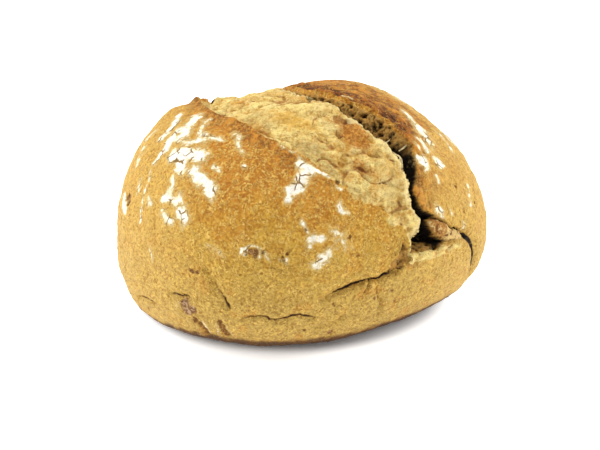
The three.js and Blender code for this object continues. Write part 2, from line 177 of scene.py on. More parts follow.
# Tints of the bloom: chart place, reach along and across, lean in degrees, shares of orange brown,
# grey olive and yellow.
TINTS = [
    (33, 24, 16, 9, -55, 0.9, 0, 0), (38, 2, 10, 5, -20, 0.8, 0.1, 0.1), (14, 17, 8, 5, -30, 0.5, 0, 0.2),
    (0, 32, 14, 8, -40, 0, 0, 0.85), (9, 9, 9, 5, -30, 0, 1, 0), (19, -2, 7, 3.5, -25, 0, 0.9, 0),
    (37, -14, 8, 3.5, -20, 0.1, 0.9, 0), (-21, 36, 12, 8, -45, 0, 0.45, 0.1),
    (4, 66, 22, 5, -10, 0.55, 0, 0.2), (53, 4, 7, 4, -50, 0.2, 0.2, 0.5), (28, 42, 12, 5, -45, 0.45, 0, 0.3),
    (57, -12, 7, 4, -70, 0, 0.5, 0.1), (-42, 82, 14, 9, 30, 0.5, 0, 0.2),
    (-30, 108, 14, 10, 60, 0.4, 0.2, 0), (-46, 122, 10, 8, 40, 0.6, 0, 0),
]

# A burnt flake on the skyline and pale threads left across the crevice: chart places with heights, width.
BURNT = [
    ([(-60.5, 83, -3), (-58.5, 84, -1.4), (-56.5, 84.8, -0.6), (-54.5, 85.6, -0.1), (-53, 86.2, -0.8)], 3.2),
    ([(-56, 85, -1.2), (-54.4, 85.8, 0.4), (-53.4, 86.2, 0.9)], 1.6),
]
STRANDS = [
    ([(57.6, 15.6, 0.6), (59.2, 14.2, 1.2), (60.6, 12.4, 1.2), (61.6, 10.4, 0.4)], 1.4),
    ([(62, 21, -2), (63.6, 22.4, -0.4), (65, 24.6, 0.8), (66, 26, 1.6)], 0.9),
    ([(52, 24.5, -3), (54.5, 25.6, -3.4), (57.6, 29, -2.4)], 0.8),
]


# ---------------------------------------------------------------- the form
def ease(x):
    """Rises smoothly from 0 to 1."""
    x = np.clip(x, 0, 1)
    return x * x * (3 - 2 * x)


def curve(points, steps=5):
    """A smooth line through the points."""
    p = np.array(points, float)
    out = []
    for i in range(len(p) - 1):
        a, b, c, d = p[max(i - 1, 0)], p[i], p[i + 1], p[min(i + 2, len(p) - 1)]
        for t in np.arange(steps) / steps:
            out.append(0.5 * (2 * b + (c - a) * t + (2 * a - 5 * b + 4 * c - d) * t * t
                + (3 * b - a - 3 * c + d) * t**3))
    return np.array(out + [p[-1]])


def near(u, v, line, reach=None):
    """Distance to a line, side of it, and how far along it: 0 to 1. Beyond reach it is just large."""
    gap, side, at = np.full(u.shape, 1e9), np.ones(u.shape), np.zeros(u.shape)
    if reach is not None:
        lo, hi = line.min(0) - reach, line.max(0) + reach
        close = (u > lo[0]) & (u < hi[0]) & (v > lo[1]) & (v < hi[1])
        if close.any():
            gap[close], side[close], at[close] = near(u[close], v[close], line)
        return gap, side, at
    lengths = np.hypot(*(line[1:] - line[:-1]).T)
    run = np.concatenate([[0], np.cumsum(lengths)])
    for i, length in enumerate(lengths):
        (ax, ay), (bx, by) = line[i], line[i + 1] - line[i]
        t = np.clip(((u - ax) * bx + (v - ay) * by) / length**2, 0, 1)
        g = np.hypot(u - ax - bx * t, v - ay - by * t)
        m = g < gap
        gap[m] = g[m]
        side[m] = np.sign(bx * (v[m] - ay) - by * (u[m] - ax))
        at[m] = (run[i] + length * t[m]) / run[-1]
    return gap, side, at


def inside(u, v, ring):
    """Whether each place lies within a closed line."""
    within = np.zeros(u.shape, bool)
    for (x1, y1), (x2, y2) in zip(ring, np.roll(ring, -1, 0)):
        if y1 != y2:
            within ^= ((y1 > v) != (y2 > v)) & (u < (x2 - x1) * (v - y1) / (y2 - y1) + x1)
    return within


LATTICE_SIDE = 64
WRAP = LATTICE_SIDE - 1  # as a bit mask, it makes the lattice repeat


def lattice():
    """Random values, -1 to 1, at the corners of a block of cells."""
    i, j, k = np.meshgrid(*[np.arange(LATTICE_SIDE)] * 3, indexing="ij")
    n = (i * 374761393 + j * 668265263 + k * 1274126177) & 0xFFFFFFFF
    n = ((n ^ (n >> 13)) * 1103515245) & 0xFFFFFFFF
    return ((((n ^ (n >> 16)) & 0xFFFF) / 65535.0) * 2 - 1).astype(np.float32).ravel()


LATTICE = lattice()


def noise(p):
    """Value noise, -1 to 1, over cells of one unit."""
    p = p.astype(np.float32)
    i = np.floor(p)
    f = p - i
    f = f * f * (3 - 2 * f)
    i = i.astype(np.int32)
    lo, hi = i & WRAP, (i + 1) & WRAP
    out = np.zeros(len(p), np.float32)
    for a in (0, 1):
        wa = f[:, 0] if a else 1 - f[:, 0]
        ia = (hi if a else lo)[:, 0] << 12
        for b in (0, 1):
            wb = wa * (f[:, 1] if b else 1 - f[:, 1])
            ib = ia + ((hi if b else lo)[:, 1] << 6)
            for c in (0, 1):
                out += wb * (f[:, 2] if c else 1 - f[:, 2]) * LATTICE[ib + (hi if c else lo)[:, 2]]
    return out


MEAN_RADIUS = 85


def lumps(d, size, shift):
    """Noise over the directions, with lumps of about this many millimetres."""
    return noise(d * (MEAN_RADIUS / size) + shift)


def cells(p, size, jitter=0.9, shift=0):
    """Distances to the two nearest of scattered points, in sizes, and a number for each cell."""
    q = p / size + shift
    base = np.floor(q).astype(np.int32)
    f1, f2, tag = np.full(len(q), 9.0), np.full(len(q), 9.0), np.zeros(len(q))
    for a in (-1, 0, 1):
        for b in (-1, 0, 1):
            for c in (-1, 0, 1):
                i = base + (a, b, c)
                k = ((i[:, 0] & WRAP) << 12) + ((i[:, 1] & WRAP) << 6) + (i[:, 2] & WRAP)
                off = [LATTICE[(k + hop) % LATTICE.size] for hop in (0, 7919, 104729)]
                at = i + 0.5 + 0.5 * jitter * np.stack(off, 1)
                g = np.sqrt(((q - at) ** 2).sum(1))
                first = g < f1
                f2 = np.where(first, f1, np.minimum(f2, g))
                tag = np.where(first, LATTICE[(k + 31337) % LATTICE.size], tag)
                f1 = np.where(first, g, f1)
    return f1, f2, tag


def unit(longitude, latitude):
    lo, la = math.radians(longitude), math.radians(latitude)
    return np.array([math.cos(la) * math.cos(lo), math.cos(la) * math.sin(lo), math.sin(la)])


def swell(d, longitude, latitude, height, spread):
    """A round rise about one direction, its spread in degrees."""
    away = np.arccos(np.clip(d @ unit(longitude, latitude), -1, 1))
    return height * np.exp(-((away / math.radians(spread)) ** 2))


TILT = math.radians(CHART_TILT)
FRONT = np.array([0, -math.cos(TILT), math.sin(TILT)])
CHART_UP = np.array([0, math.sin(TILT), math.cos(TILT)])


def chart(d):
    """The chart place of each direction: millimetres right and up from the chart's middle."""
    out = CHART_RADIUS * np.arccos(np.clip(d @ FRONT, -1, 1))
    up = d @ CHART_UP
    span = np.hypot(d[:, 0], up) + 1e-12
    return out * d[:, 0] / span, out * up / span


def dome(d):
    """The plain loaf's radius for each direction."""
    turn, z = np.arctan2(d[:, 1], d[:, 0]), d[:, 2]
    flat = np.sqrt(np.maximum(1 - z * z, 1e-9))
    belly = (BELLY_RADIUS + 6.8 * np.cos(2 * turn) + 3.0 * np.sin(2 * turn)
        + 2.1 * np.cos(3 * turn) + 2.6 * np.sin(3 * turn))

    def shell(reach, n):
        return ((flat / belly) ** n + (np.abs(z) / reach) ** n) ** (-1 / n)

    r = np.where(z >= 0, shell(CROWN_RISE, CROWN_SQUARENESS), shell(FOOT_DROP, FOOT_SQUARENESS))
    for longitude, latitude, height in SWELLS:
        r = r + swell(d, longitude, latitude, height, SWELL_SPREAD)
    return r


LINE_A, LINE_RIDGE, LINE_SHELF, LINE_C = map(curve, (RIM_A, RIDGE, SHELF, RIM_C))
BURST = np.concatenate([LINE_A, LINE_RIDGE[::-1][1:]])
CREVICE = np.concatenate([LINE_RIDGE, LINE_SHELF[1:], LINE_C[::-1][1:]])
CRACKS = [(curve(line), *rest) for line, *rest in GROOVES + WRINKLES]


def ring(points):
    return np.array(points + points[:1], float)


def build(d):
    """Everything that is known about each direction: its place in the burst and its height over the dome."""
    u0, v0 = chart(d)
    u = u0 + 1.1 * lumps(d, 7, 11) + 0.6 * lumps(d, 3, 5) + 0.45 * lumps(d, 1.5, 7)
    v = v0 + 1.1 * lumps(d, 7, 23) + 0.6 * lumps(d, 3, 31) + 0.45 * lumps(d, 1.5, 15)
    a, _, a_at = near(u, v, LINE_A)
    ridge, _, ridge_at = near(u, v, LINE_RIDGE)
    shelf, _, shelf_at = near(u, v, LINE_SHELF)
    c, c_side, c_at = near(u, v, LINE_C)
    burst, crevice = inside(u, v, BURST), inside(u, v, CREVICE)
    outside = ~burst & ~crevice
    flap = outside & (c_side > 0) & (c < a)

    lift = swell(d, *FLAP)
    edge = FLAP_EDGE * ease((c_at - 0.28) / 0.2) * (1 - ease((c_at - 0.6) / 0.38))
    front = np.minimum(ridge, shelf)
    depth = np.where(shelf < ridge, np.interp(shelf_at, *zip(*SHELF_DEPTH)),
        np.interp(ridge_at, *zip(*CREVICE_DEPTH)))
    sunk = depth * np.minimum(ease(front / np.where(shelf < ridge, SHELF_WALL, LIP_WALL)),
        np.clip(c / np.interp(ridge_at, *zip(*BACK_WALL)), 0, 1) ** 0.8)
    in_crevice = ((lift + edge) * front / (front + c + 1e-6) - sunk
        + 1.2 * lumps(d, 5, 17) * ease(front / 2) * ease(c / 2))
    share = a / (a + ridge + 1e-6)
    in_burst = ease(a / 1.6) * (
        -1.9 * (1 - 0.55 * ease(a_at)) * (1 - ease(a / 14)) + 1.6 * ease(share * 1.6 - 0.5)
        - 2.6 * (1 - ease(ridge / 3.2)) * ease((ridge_at - 0.25) / 0.12)
        + 0.9 * lumps(d, 9, 3) + 0.5 * lumps(d, 4.5, 9)
    )
    right = ease(0.5 + (a - c) / 24)
    on_crust = lift * right + np.where(c_side > 0, edge * right * np.exp(-((c / 16) ** 2)), 0)
    on_crust = on_crust + np.where(flap, 0, 0.9 * np.exp(-((a / 5) ** 2)) * (1 - ease((a_at - 0.62) / 0.2)))
    h = np.where(crevice, in_crevice, np.where(burst, in_burst, on_crust))
    for x, y, height, radius in KNOBS:
        h = h + height * np.exp(-((np.hypot(u0 - x, v0 - y) / radius) ** 2))
    flake = inside(u, v, np.array(FLAKE, float))
    rim = near(u, v, ring(FLAKE), 9)[0]
    on_flake = -0.8 - 0.6 * (1 - ease(rim / 2)) + ease(rim / 4) - 8 * (1 - ease(rim / 0.9))
    h = np.where(flake, np.maximum(h, on_flake), h)
    torn = inside(u, v, np.array(TORN_BAND, float))
    torn_rim = near(u, v, ring(TORN_BAND), 6)[0]
    h = h - np.where(torn, 3.2 * ease(torn_rim / 2.5) + 0.9 * lumps(d, 3.5, 41), 0)
    crack_shade = np.zeros(len(d))
    crack_gap = np.full(len(d), 1e9)
    for line, deep, width, shade_start, shade_end in CRACKS:
        gap, _, at = near(u, v, line, 14)
        h = h - deep * np.exp(-((gap / width) ** 2)) * np.minimum(1, (1 - at) * 4 + 0.3)
        groove_shade = (shade_start + (shade_end - shade_start) * at) * np.exp(-((gap / (0.45 * width)) ** 2))
        crack_shade = np.maximum(crack_shade, groove_shade * np.minimum(1, np.minimum(at * 6 + 0.4, (1 - at) * 4)))
        crack_gap = np.minimum(crack_gap, gap)
    h = h + np.where(crevice, 0.3, 1.0) * (0.9 * lumps(d, 30, 50) + 0.45 * lumps(d, 11, 60))
    z = d[:, 2]
    r = dome(d) + h * ease((z + 0.52) / 0.1)
    down = np.maximum(-z, 1e-3)
    seated = r**-SEAT_ROUNDING + ((HEART[2] + SEAT_SINK) / down) ** -SEAT_ROUNDING
    r = np.where(z < -1e-3, np.minimum(seated ** (-1 / SEAT_ROUNDING), HEART[2] / down), r)
    return {
        "u": u0, "v": v0, "a": a, "a_at": a_at, "ridge": ridge, "ridge_at": ridge_at,
        "shelf": shelf, "shelf_at": shelf_at, "c": c, "c_at": c_at, "burst": burst, "crevice": crevice,
        "flap": flap, "flake": flake, "flake_rim": rim, "torn": torn, "torn_rim": torn_rim,
        "crack_shade": crack_shade, "crack_gap": crack_gap, "sunk": np.where(crevice, sunk, 0), "right": right,
        "point": HEART + d * r[:, None],
    }


# ---------------------------------------------------------------- the mesh
CREVICE_EDGE, BURST_EDGE, CRUST_EDGE, BACK_EDGE, BASE_EDGE = 0.75, 1.0, 1.35, 1.9, 4.0
ROUNDS = 9
PAIR_STRIDE = 4000000  # more than there are points, so that two of their numbers fit in one


def edge_limit(d, s):
    """How long an edge of the mesh may be at each point."""
    front = np.clip(0.5 + 0.9 * (d @ unit(-90, 35)), 0, 1)
    limit = BACK_EDGE + (CRUST_EDGE - BACK_EDGE) * ease(front * 1.3)
    limit = np.where(s["burst"], BURST_EDGE + 0.4 * ease((s["v"] - 85) / 15), limit)
    fine = np.minimum(np.minimum(s["ridge"], s["shelf"]), s["c"])
    limit = np.minimum(limit, CREVICE_EDGE + 0.12 * np.maximum(fine - 1.5, 0))
    limit = np.minimum(limit, 0.95 + 0.15 * np.maximum(np.minimum(s["a"], s["crack_gap"]) - 2, 0))
    limit = np.where(s["crevice"] | s["flake"] | s["torn"], CREVICE_EDGE, limit)
    return np.where(d[:, 2] < -0.6, BASE_EDGE, limit)


def least_turn(s):
    """The flake's sides and the wall under the far rim show, so they keep more rows of points."""
    far_wall = s["crevice"] & (s["c"] < 3) & (s["c_at"] > 0.3)
    return np.where((np.abs(s["flake_rim"]) < 1.5) | far_wall, 0.25, 0.5)


def refine(d, faces):
    """Splits every edge that is longer than the detail there allows."""
    s = build(d)
    s["limit"], s["least"] = edge_limit(d, s), least_turn(s)
    for _ in range(ROUNDS):
        pairs = np.sort(np.stack([faces, np.roll(faces, -1, 1)], -1).reshape(-1, 2), 1)
        keys, back = np.unique(pairs[:, 0] * PAIR_STRIDE + pairs[:, 1], return_inverse=True)
        a, b = keys // PAIR_STRIDE, keys % PAIR_STRIDE
        span = np.linalg.norm(s["point"][a] - s["point"][b], axis=1)
        turn = np.linalg.norm(d[a] - d[b], axis=1) * CHART_RADIUS
        split = span > np.minimum(s["limit"][a], s["limit"][b]) * 1.25
        split &= turn > np.minimum(s["least"][a], s["least"][b])
        middle = d[a[split]] + d[b[split]]
        middle /= np.linalg.norm(middle, axis=1, keepdims=True)
        new = build(middle)
        new["limit"], new["least"] = edge_limit(middle, new), least_turn(new)
        at = np.full(len(keys), -1)
        at[split] = len(d) + np.arange(split.sum())
        d = np.concatenate([d, middle])
        s = {k: np.concatenate([s[k], new[k]]) for k in s}
        m = at[back.reshape(-1)].reshape(-1, 3)
        count = (m >= 0).sum(1)
        out = [faces[count == 0]]
        f, g = faces[count == 3], m[count == 3]
        for tri in ((f[:, 0], g[:, 0], g[:, 2]), (g[:, 0], f[:, 1], g[:, 1]), (g[:, 2], g[:, 1], f[:, 2]),
            (g[:, 0], g[:, 1], g[:, 2])):
            out.append(np.stack(tri, 1))
        for k in range(3):
            f, g = np.roll(faces, -k, 1), np.roll(m, -k, 1)
            one = (count == 1) & (g[:, 0] >= 0)
            p, q, r, pq = f[one, 0], f[one, 1], f[one, 2], g[one, 0]
            out += [np.stack([p, pq, r], 1), np.stack([pq, q, r], 1)]
            two = (count == 2) & (g[:, 0] >= 0) & (g[:, 1] >= 0)
            p, q, r, pq, qr = f[two, 0], f[two, 1], f[two, 2], g[two, 0], g[two, 1]
            out.append(np.stack([pq, q, qr], 1))
            from_p = np.linalg.norm(s["point"][p] - s["point"][qr], axis=1)
            from_r = np.linalg.norm(s["point"][pq] - s["point"][r], axis=1)
            shorter = (from_p < from_r)[:, None]
            out.append(np.where(shorter, np.stack([p, pq, qr], 1), np.stack([p, pq, r], 1)))
            out.append(np.where(shorter, np.stack([p, qr, r], 1), np.stack([pq, qr, r], 1)))
        faces = np.concatenate(out)
    return d, faces, s


def normals(points, faces):
    """Unit normals at the points."""
    n = np.cross(points[faces[:, 1]] - points[faces[:, 0]], points[faces[:, 2]] - points[faces[:, 0]])
    out = np.zeros_like(points)
    for k in range(3):
        np.add.at(out, faces[:, k], n)
    return out / np.maximum(np.linalg.norm(out, axis=1, keepdims=True), 1e-12)


bpy.ops.mesh.primitive_ico_sphere_add(subdivisions=6, radius=1)
ball = bpy.context.object
start = np.empty(len(ball.data.vertices) * 3)
ball.data.vertices.foreach_get("co", start)
start = start.reshape(-1, 3)
start /= np.linalg.norm(start, axis=1, keepdims=True)
start_faces = np.empty(len(ball.data.polygons) * 3, np.int32)
ball.data.polygons.foreach_get("vertices", start_faces)
bpy.data.objects.remove(ball)
d, faces, s = refine(start, start_faces.reshape(-1, 3).astype(np.int64))
point = s["point"]
u, v = s["u"], s["v"]
n = normals(point, faces)

# ---------------------------------------------------------------- masks, 0 to 1
crevice, burst, flap = s["crevice"], s["burst"], s["flap"]
outside = ~burst & ~crevice
flake = s["flake"] * ease((s["flake_rim"] - 0.6) / 0.2)
narrow = ease((s["ridge_at"] - 0.66) / 0.08) * (s["ridge"] < s["shelf"])
crumb = np.where(crevice, np.maximum(ease((s["sunk"] - 1.2) / 1.4), narrow * ease(s["sunk"] / 0.8)), 0)
crumb = np.maximum(crumb, np.where(s["torn"], ease(s["torn_rim"] / 1.6) * 0.85, 0)) * (1 - flake)
# no light reaches the floor beside the front lip, nor the narrow middle of the crevice
shade_by_lip = ease((np.interp(s["ridge_at"], *zip(*DARK_BAND)) - s["ridge"]) / 2.5 + 0.5)
shade_by_lip *= ease((s["sunk"] - 1 + 0.8 * narrow) / (3 - 1.6 * narrow))
shade_by_shelf = ease((s["shelf"] - np.interp(s["shelf_at"], (0.2, 0.45, 0.68), (9.5, 7, 1))) / 3)
shade_under_flake = ease((8 - s["flake_rim"]) / 3)
shade_by_shelf = np.maximum(shade_by_shelf, shade_under_flake * ease((s["sunk"] - 1.5) / 2))
shade_by_lip = np.maximum(shade_by_lip, ease((s["sunk"] - 13) / 8))
deep = np.where(crevice, np.where(s["shelf"] < s["ridge"], shade_by_shelf, shade_by_lip), 0) * (1 - flake)
# along the lower part of its front edge the bloom runs out into the crust
run_out = ease((s["a_at"] - 0.6) / 0.16)
ragged = (4.5 + 4 * lumps(d, 6, 103) + 2.5 * lumps(d, 2.4, 107)) * run_out
softness = 1.4 + (8 + 3 * lumps(d, 7, 97)) * run_out
bloom = ease((np.where(burst, s["a"], -s["a"]) + ragged) / softness) * (~crevice & ~flap & ~s["torn"])
lip = np.where(crevice & (s["c"] > 0.6 * s["ridge"]), 1 - ease((s["sunk"] - 0.5) / 2), 0)
plate_lip = outside & ~s["torn"] & (s["shelf"] < s["c"])
plate_lip &= (s["shelf_at"] > 0.12) & (s["shelf_at"] < 0.85)
lip = np.maximum(lip, plate_lip * 0.95 * (1 - ease((s["shelf"] - 1) / (3.5 + 2 * lumps(d, 4, 91)))))
bloom = np.maximum(bloom, lip) * (1 - flake)

# flour lies where the strokes are, broken up by the lumps of the crust
flour = np.zeros(len(d))
fu = u + 1.4 * lumps(d, 6, 71) + 0.6 * lumps(d, 2.6, 73)
fv = v + 1.4 * lumps(d, 6, 81) + 0.6 * lumps(d, 2.6, 83)
for x1, y1, x2, y2, width, strength in FLOUR:
    gap = near(fu, fv, np.array([(x1, y1), (x2, y2)], float), 3 * width)[0]
    flour = np.maximum(flour, strength * np.clip(1.1 - 0.55 * gap / width, 0, 1.1))
flour = np.where(burst | crevice, flour * 0.25, flour)

# browning: the rims of the burst, marks on the bloom
left_rim = (outside & ~flap) * (1 - ease((s["a_at"] - 0.66) / 0.22))
brown = left_rim * (1 - ease((s["a"] - 2) / (14 + 7 * lumps(d, 16, 5))))
for x, y, radius, strength in BROWNED:
    spot = strength * np.exp(-((np.hypot(fu - x, fv - y) / radius) ** 2))
    brown = np.maximum(brown, spot * outside)
right_rim = flap * (1 - ease((s["c_at"] - 0.8) / 0.12))
upper = 1 - ease((s["c_at"] - 0.6) / 0.1)
reach = (2 + 26 * upper) * ease((s["c_at"] - 0.16) / 0.12)
right_brown = right_rim * (0.78 + 0.22 * (1 - ease((s["c"] - 8) / 5)) * upper)
right_brown *= 1 - ease((s["c"] - reach) / (5 + 6 * upper + 3 * lumps(d, 10, 7)))
brown = np.maximum(0.75 * brown, right_brown)


def oval(x, y, long, wide, lean):
    """The square of how far each place lies out from a leaning oval's middle, in its reaches."""
    a = math.radians(lean)
    along = (fu - x) * math.cos(a) + (fv - y) * math.sin(a)
    across = -(fu - x) * math.sin(a) + (fv - y) * math.cos(a)
    return (along / long) ** 2 + (across / wide) ** 2


mark = np.zeros(len(d))
for *shape, strength in MARKS:
    mark = np.maximum(mark, strength * np.exp(-oval(*shape)))
mark *= burst
orange, olive, yellow = [np.zeros(len(d)) for _ in range(3)]
for *shape, o, g, b in TINTS:
    share = np.exp(-(oval(*shape) ** 1.5))
    orange = np.maximum(orange, o * share)
    olive = np.maximum(olive, g * share)
    yellow = np.maximum(yellow, b * share)
scar, scar_purple = np.zeros(len(d)), np.zeros(len(d))
pit = np.zeros(len(d))
for x, y, radius, deepness, purple in SCARS:
    g = np.exp(-((np.hypot(fu - x, fv - y) / radius) ** 2) * 1.4)
    scar = np.maximum(scar, g)
    scar_purple = np.maximum(scar_purple, g * purple)
    pit = np.maximum(pit, g * deepness)
flour *= 1 - 0.85 * scar

# ---------------------------------------------------------------- fine relief along the crust's normal
def bent(by, size, shift):
    return point + by * np.stack([noise(point / size + shift + 10 * k) for k in range(3)], 1)


plain = outside & ~s["torn"] & ~s["flake"]
fine = np.zeros(len(d))
soft, mid = noise(point / 6.5 + 3), noise(point / 2.6)
fine += plain * (0.32 * soft + 0.2 * mid + 0.12 * noise(point / 1.5 + 9))
f1, f2, tag = cells(point, 4.2, shift=3)
fine += plain * np.where(tag > 0.3, 0.4 * ease(1 - f1 / 0.3), 0)  # blisters
fine += plain * np.where(tag < -0.8, -0.7 * ease(1 - f1 / 0.26), 0)  # pits
# the bloom: rounded lumps with creases between them
lump = np.abs(noise(bent(1.8, 4, 60) / np.array([6.5, 8, 4.2]) + 21))
small_lump = np.abs(noise(bent(1.0, 2.4, 40) / np.array([2.9, 3.6, 2.1]) + 5))
fold = np.clip(0.8 * lump**0.7 + 0.55 * small_lump**0.8 + 0.25, 0, 1.2) / 1.2
lobe = noise(bent(4, 9, 30) / np.array([13, 14, 7]) + 2)
trough = bloom * (1 - ease(np.abs(lobe) / 0.16)) * ease(noise(point / 11 + 8) * 2 + 0.5)
fine += bloom * (1.5 * (fold - 0.55) + 2.2 * np.abs(lobe) + 0.35 * noise(point / 2.0 + 1)
    + 0.2 * noise(point / 1.1 + 2) - 0.8 * trough)
fine -= 2.2 * bloom * ease((v - 48) / 22)  # flatter over the top
fine -= 1.3 * mark * (0.6 + 0.4 * noise(point / 1.5 + 7))
# torn rims: fibres and crags
rough = 0.9 * noise(point / 4.6 + 21) + 0.6 * noise(point / 2.3 + 5) + 0.35 * noise(point / 1.2 + 1)
crags = np.maximum(right_rim * np.exp(-((s["c"] / 12) ** 2)), left_rim * np.exp(-((s["a"] / 5) ** 2)) * 0.6)
fine += crags * 0.9 * rough
fine += flake * 0.5 * rough
fine += ease(flour / 0.6) * (0.22 + 0.16 * noise(point / 1.3 + 13))
fine -= pit
# crumb: thin walls round stretched cells
f1, f2, tag = cells(bent(0.9, 3, 80) * np.array([1, 1, 0.7]), 3.9, shift=11)
g1, g2, _ = cells(bent(0.5, 2, 90), 1.9, shift=29)
hole = ease((f2 - f1 + 0.1 * tag) / 0.55) * (0.75 + 0.25 * tag)
small_hole = ease((g2 - g1) / 0.6)
fine -= crumb * (1 - 0.7 * narrow) * (2.6 * hole * (0.6 + 0.4 * ease(tag + 0.5)) + 0.9 * small_hole - 1.3)
point = point + n * (fine * ease((d[:, 2] + 0.56) / 0.1))[:, None]
point[:, 2] = np.maximum(point[:, 2], 0)
# painted shade in the sunken cells of the crumb
hole_shade = crumb * np.clip(0.8 * hole + 0.35 * small_hole, 0, 1)
# the height of the bloom's lumps, which its paint follows: painted light on top and painted shade low down,
# as well as its own colours
rise = np.where(bloom > 0.05, np.clip(0.75 * fold + 0.55 * np.abs(lobe), 0, 1),
    np.clip(0.5 + 0.35 * soft + 0.25 * mid, 0, 1))

loaf_mesh = bpy.data.meshes.new("crust_and_crumb")
loaf_mesh.from_pydata((point / 1000).tolist(), [], faces.tolist())
loaf_mesh.polygons.foreach_set("use_smooth", np.ones(len(faces), bool))
loaf = bpy.data.objects.new("crust_and_crumb", loaf_mesh)
bpy.context.collection.objects.link(loaf)


def paint(name, r, g, b, a):
    layer = loaf_mesh.attributes.new(name, "FLOAT_COLOR", "POINT")
    layer.data.foreach_set("color", np.stack([r, g, b, a], 1).astype(np.float32).ravel())


height = point[:, 2] / LOAF_HEIGHT
paint("zones", bloom, crumb, brown, flour)
paint("marks", s["crack_shade"], scar, scar_purple, mark)
paint("depths", deep, hole_shade, height, flake)
paint("forms", rise, np.clip(0.5 + 0.45 * rough, 0, 1), orange * bloom, olive * bloom)
side = ease((np.abs(d[:, 0]) - np.where(d[:, 0] < 0, 0.42, 0.6)) / 0.35)
# where the foot faces down: browned crust with painted shade over it
seat_browning_and_shade = ease((-n[:, 2] - 0.42 + 0.08 * rough) / 0.34) * ease((18 - point[:, 2]) / 8)
right_crust = s["right"] * (1 - brown) * ease((s["c"] - 6) / 8) * (1 - ease((v - 70) / 50))
right_crust *= outside
paint("areas", yellow * bloom, side, right_crust, seat_browning_and_shade)
pale_lip = bloom * (1 - ease((s["ridge"] - 1.5) / (5 + 3 * lumps(d, 6, 93))))
pale_lip *= ease((s["ridge_at"] - 0.2) / 0.1)
paint("flakes", flake, flake * ease((u - 91) / 8), pale_lip, trough)

# one island for the dome, one for the flat underside
DOME_MIDDLE, DOME_REACH, DOME_FALL = 0.375, 0.37, math.radians(131)
UNDER_MIDDLE, UNDER_SCALE, UNDER_BELOW = 0.865, 0.8, -0.62
uv = loaf_mesh.uv_layers.new(name="OFBake")
corner = faces.reshape(-1)
under = np.repeat(d[faces].mean(1)[:, 2] < UNDER_BELOW, 3)
fall = np.arccos(np.clip(d[corner, 2], -1, 1)) / DOME_FALL
turn = np.arctan2(d[corner, 1], d[corner, 0])
over_uv = [DOME_MIDDLE + DOME_REACH * fall * way for way in (np.cos(turn), np.sin(turn))]
under_uv = [UNDER_MIDDLE + point[corner, k] / 1000 * UNDER_SCALE for k in (0, 1)]
uv.data.foreach_set("uv", np.where(under, under_uv, over_uv).T.astype(np.float32).ravel())


# ---------------------------------------------------------------- materials
class Nodes:
    """Short names for making a node tree."""

    def __init__(self, name):
        self.material = bpy.data.materials.new(name)
        self.material.use_nodes = True
        self.tree = self.material.node_tree
        self.shader = self.tree.nodes["Principled BSDF"]
        self.place = self.scaled(self.new("ShaderNodeTexCoord").outputs["Object"], 1000)

    def new(self, kind, **settings):
        node = self.tree.nodes.new(kind)
        for k, value in settings.items():
            setattr(node, k, value)
        return node

    def put(self, socket, value):
        if isinstance(value, bpy.types.NodeSocket):
            self.tree.links.new(value, socket)
        elif isinstance(value, tuple) and len(value) == 3 and socket.type == "RGBA":
            socket.default_value = (*value, 1)
        else:
            socket.default_value = value

    def scaled(self, vector, by):
        node = self.new("ShaderNodeVectorMath", operation="MULTIPLY")
        self.put(node.inputs[0], vector)
        self.put(node.inputs[1], by if isinstance(by, tuple) else (by, by, by))
        return node.outputs[0]

    def math(self, operation, a, b=0.0):
        node = self.new("ShaderNodeMath", operation=operation)
        self.put(node.inputs[0], a)
        self.put(node.inputs[1], b)
        return node.outputs[0]

    def step(self, value, low, high, to_low=0.0, to_high=1.0):
        node = self.new("ShaderNodeMapRange", interpolation_type="SMOOTHSTEP")
        names = "Value", "From Min", "From Max", "To Min", "To Max"
        for k, x in zip(names, (value, low, high, to_low, to_high)):
            self.put(node.inputs[k], x)
        return node.outputs[0]

    def mix(self, share, a, b):
        node = self.new("ShaderNodeMix", data_type="RGBA", clamp_factor=True)
        for k, x in zip((0, 6, 7), (share, a, b)):
            self.put(node.inputs[k], x)
        return node.outputs[2]

    def noise(self, size, detail=2.0, roughness=0.5, distortion=0.0):
        node = self.new("ShaderNodeTexNoise")
        self.put(node.inputs["Vector"], self.place)
        names = "Scale", "Detail", "Roughness", "Distortion"
        for k, x in zip(names, (1 / size, detail, roughness, distortion)):
            self.put(node.inputs[k], x)
        return node.outputs["Fac"]

    def cells(self, size):
        node = self.new("ShaderNodeTexVoronoi")
        self.put(node.inputs["Vector"], self.place)
        self.put(node.inputs["Scale"], 1 / size)
        return node.outputs

    def attribute(self, name):
        node = self.new("ShaderNodeAttribute", attribute_name=name)
        split = self.new("ShaderNodeSeparateColor")
        self.tree.links.new(node.outputs["Color"], split.inputs[0])
        return [*split.outputs, node.outputs["Alpha"]]


# The light leaves the ground white, so the loaf's paints are darker than its colours look.
PAINT_SHARE = 0.71, 0.685, 0.645


def srgb(r, g, b, share=PAINT_SHARE):
    """The paint for a colour written as it looks."""
    linear = [((c / 255 + 0.055) / 1.055) ** 2.4 if c > 10 else c / 255 / 12.92 for c in (r, g, b)]
    return tuple(k * c for k, c in zip(share, linear))


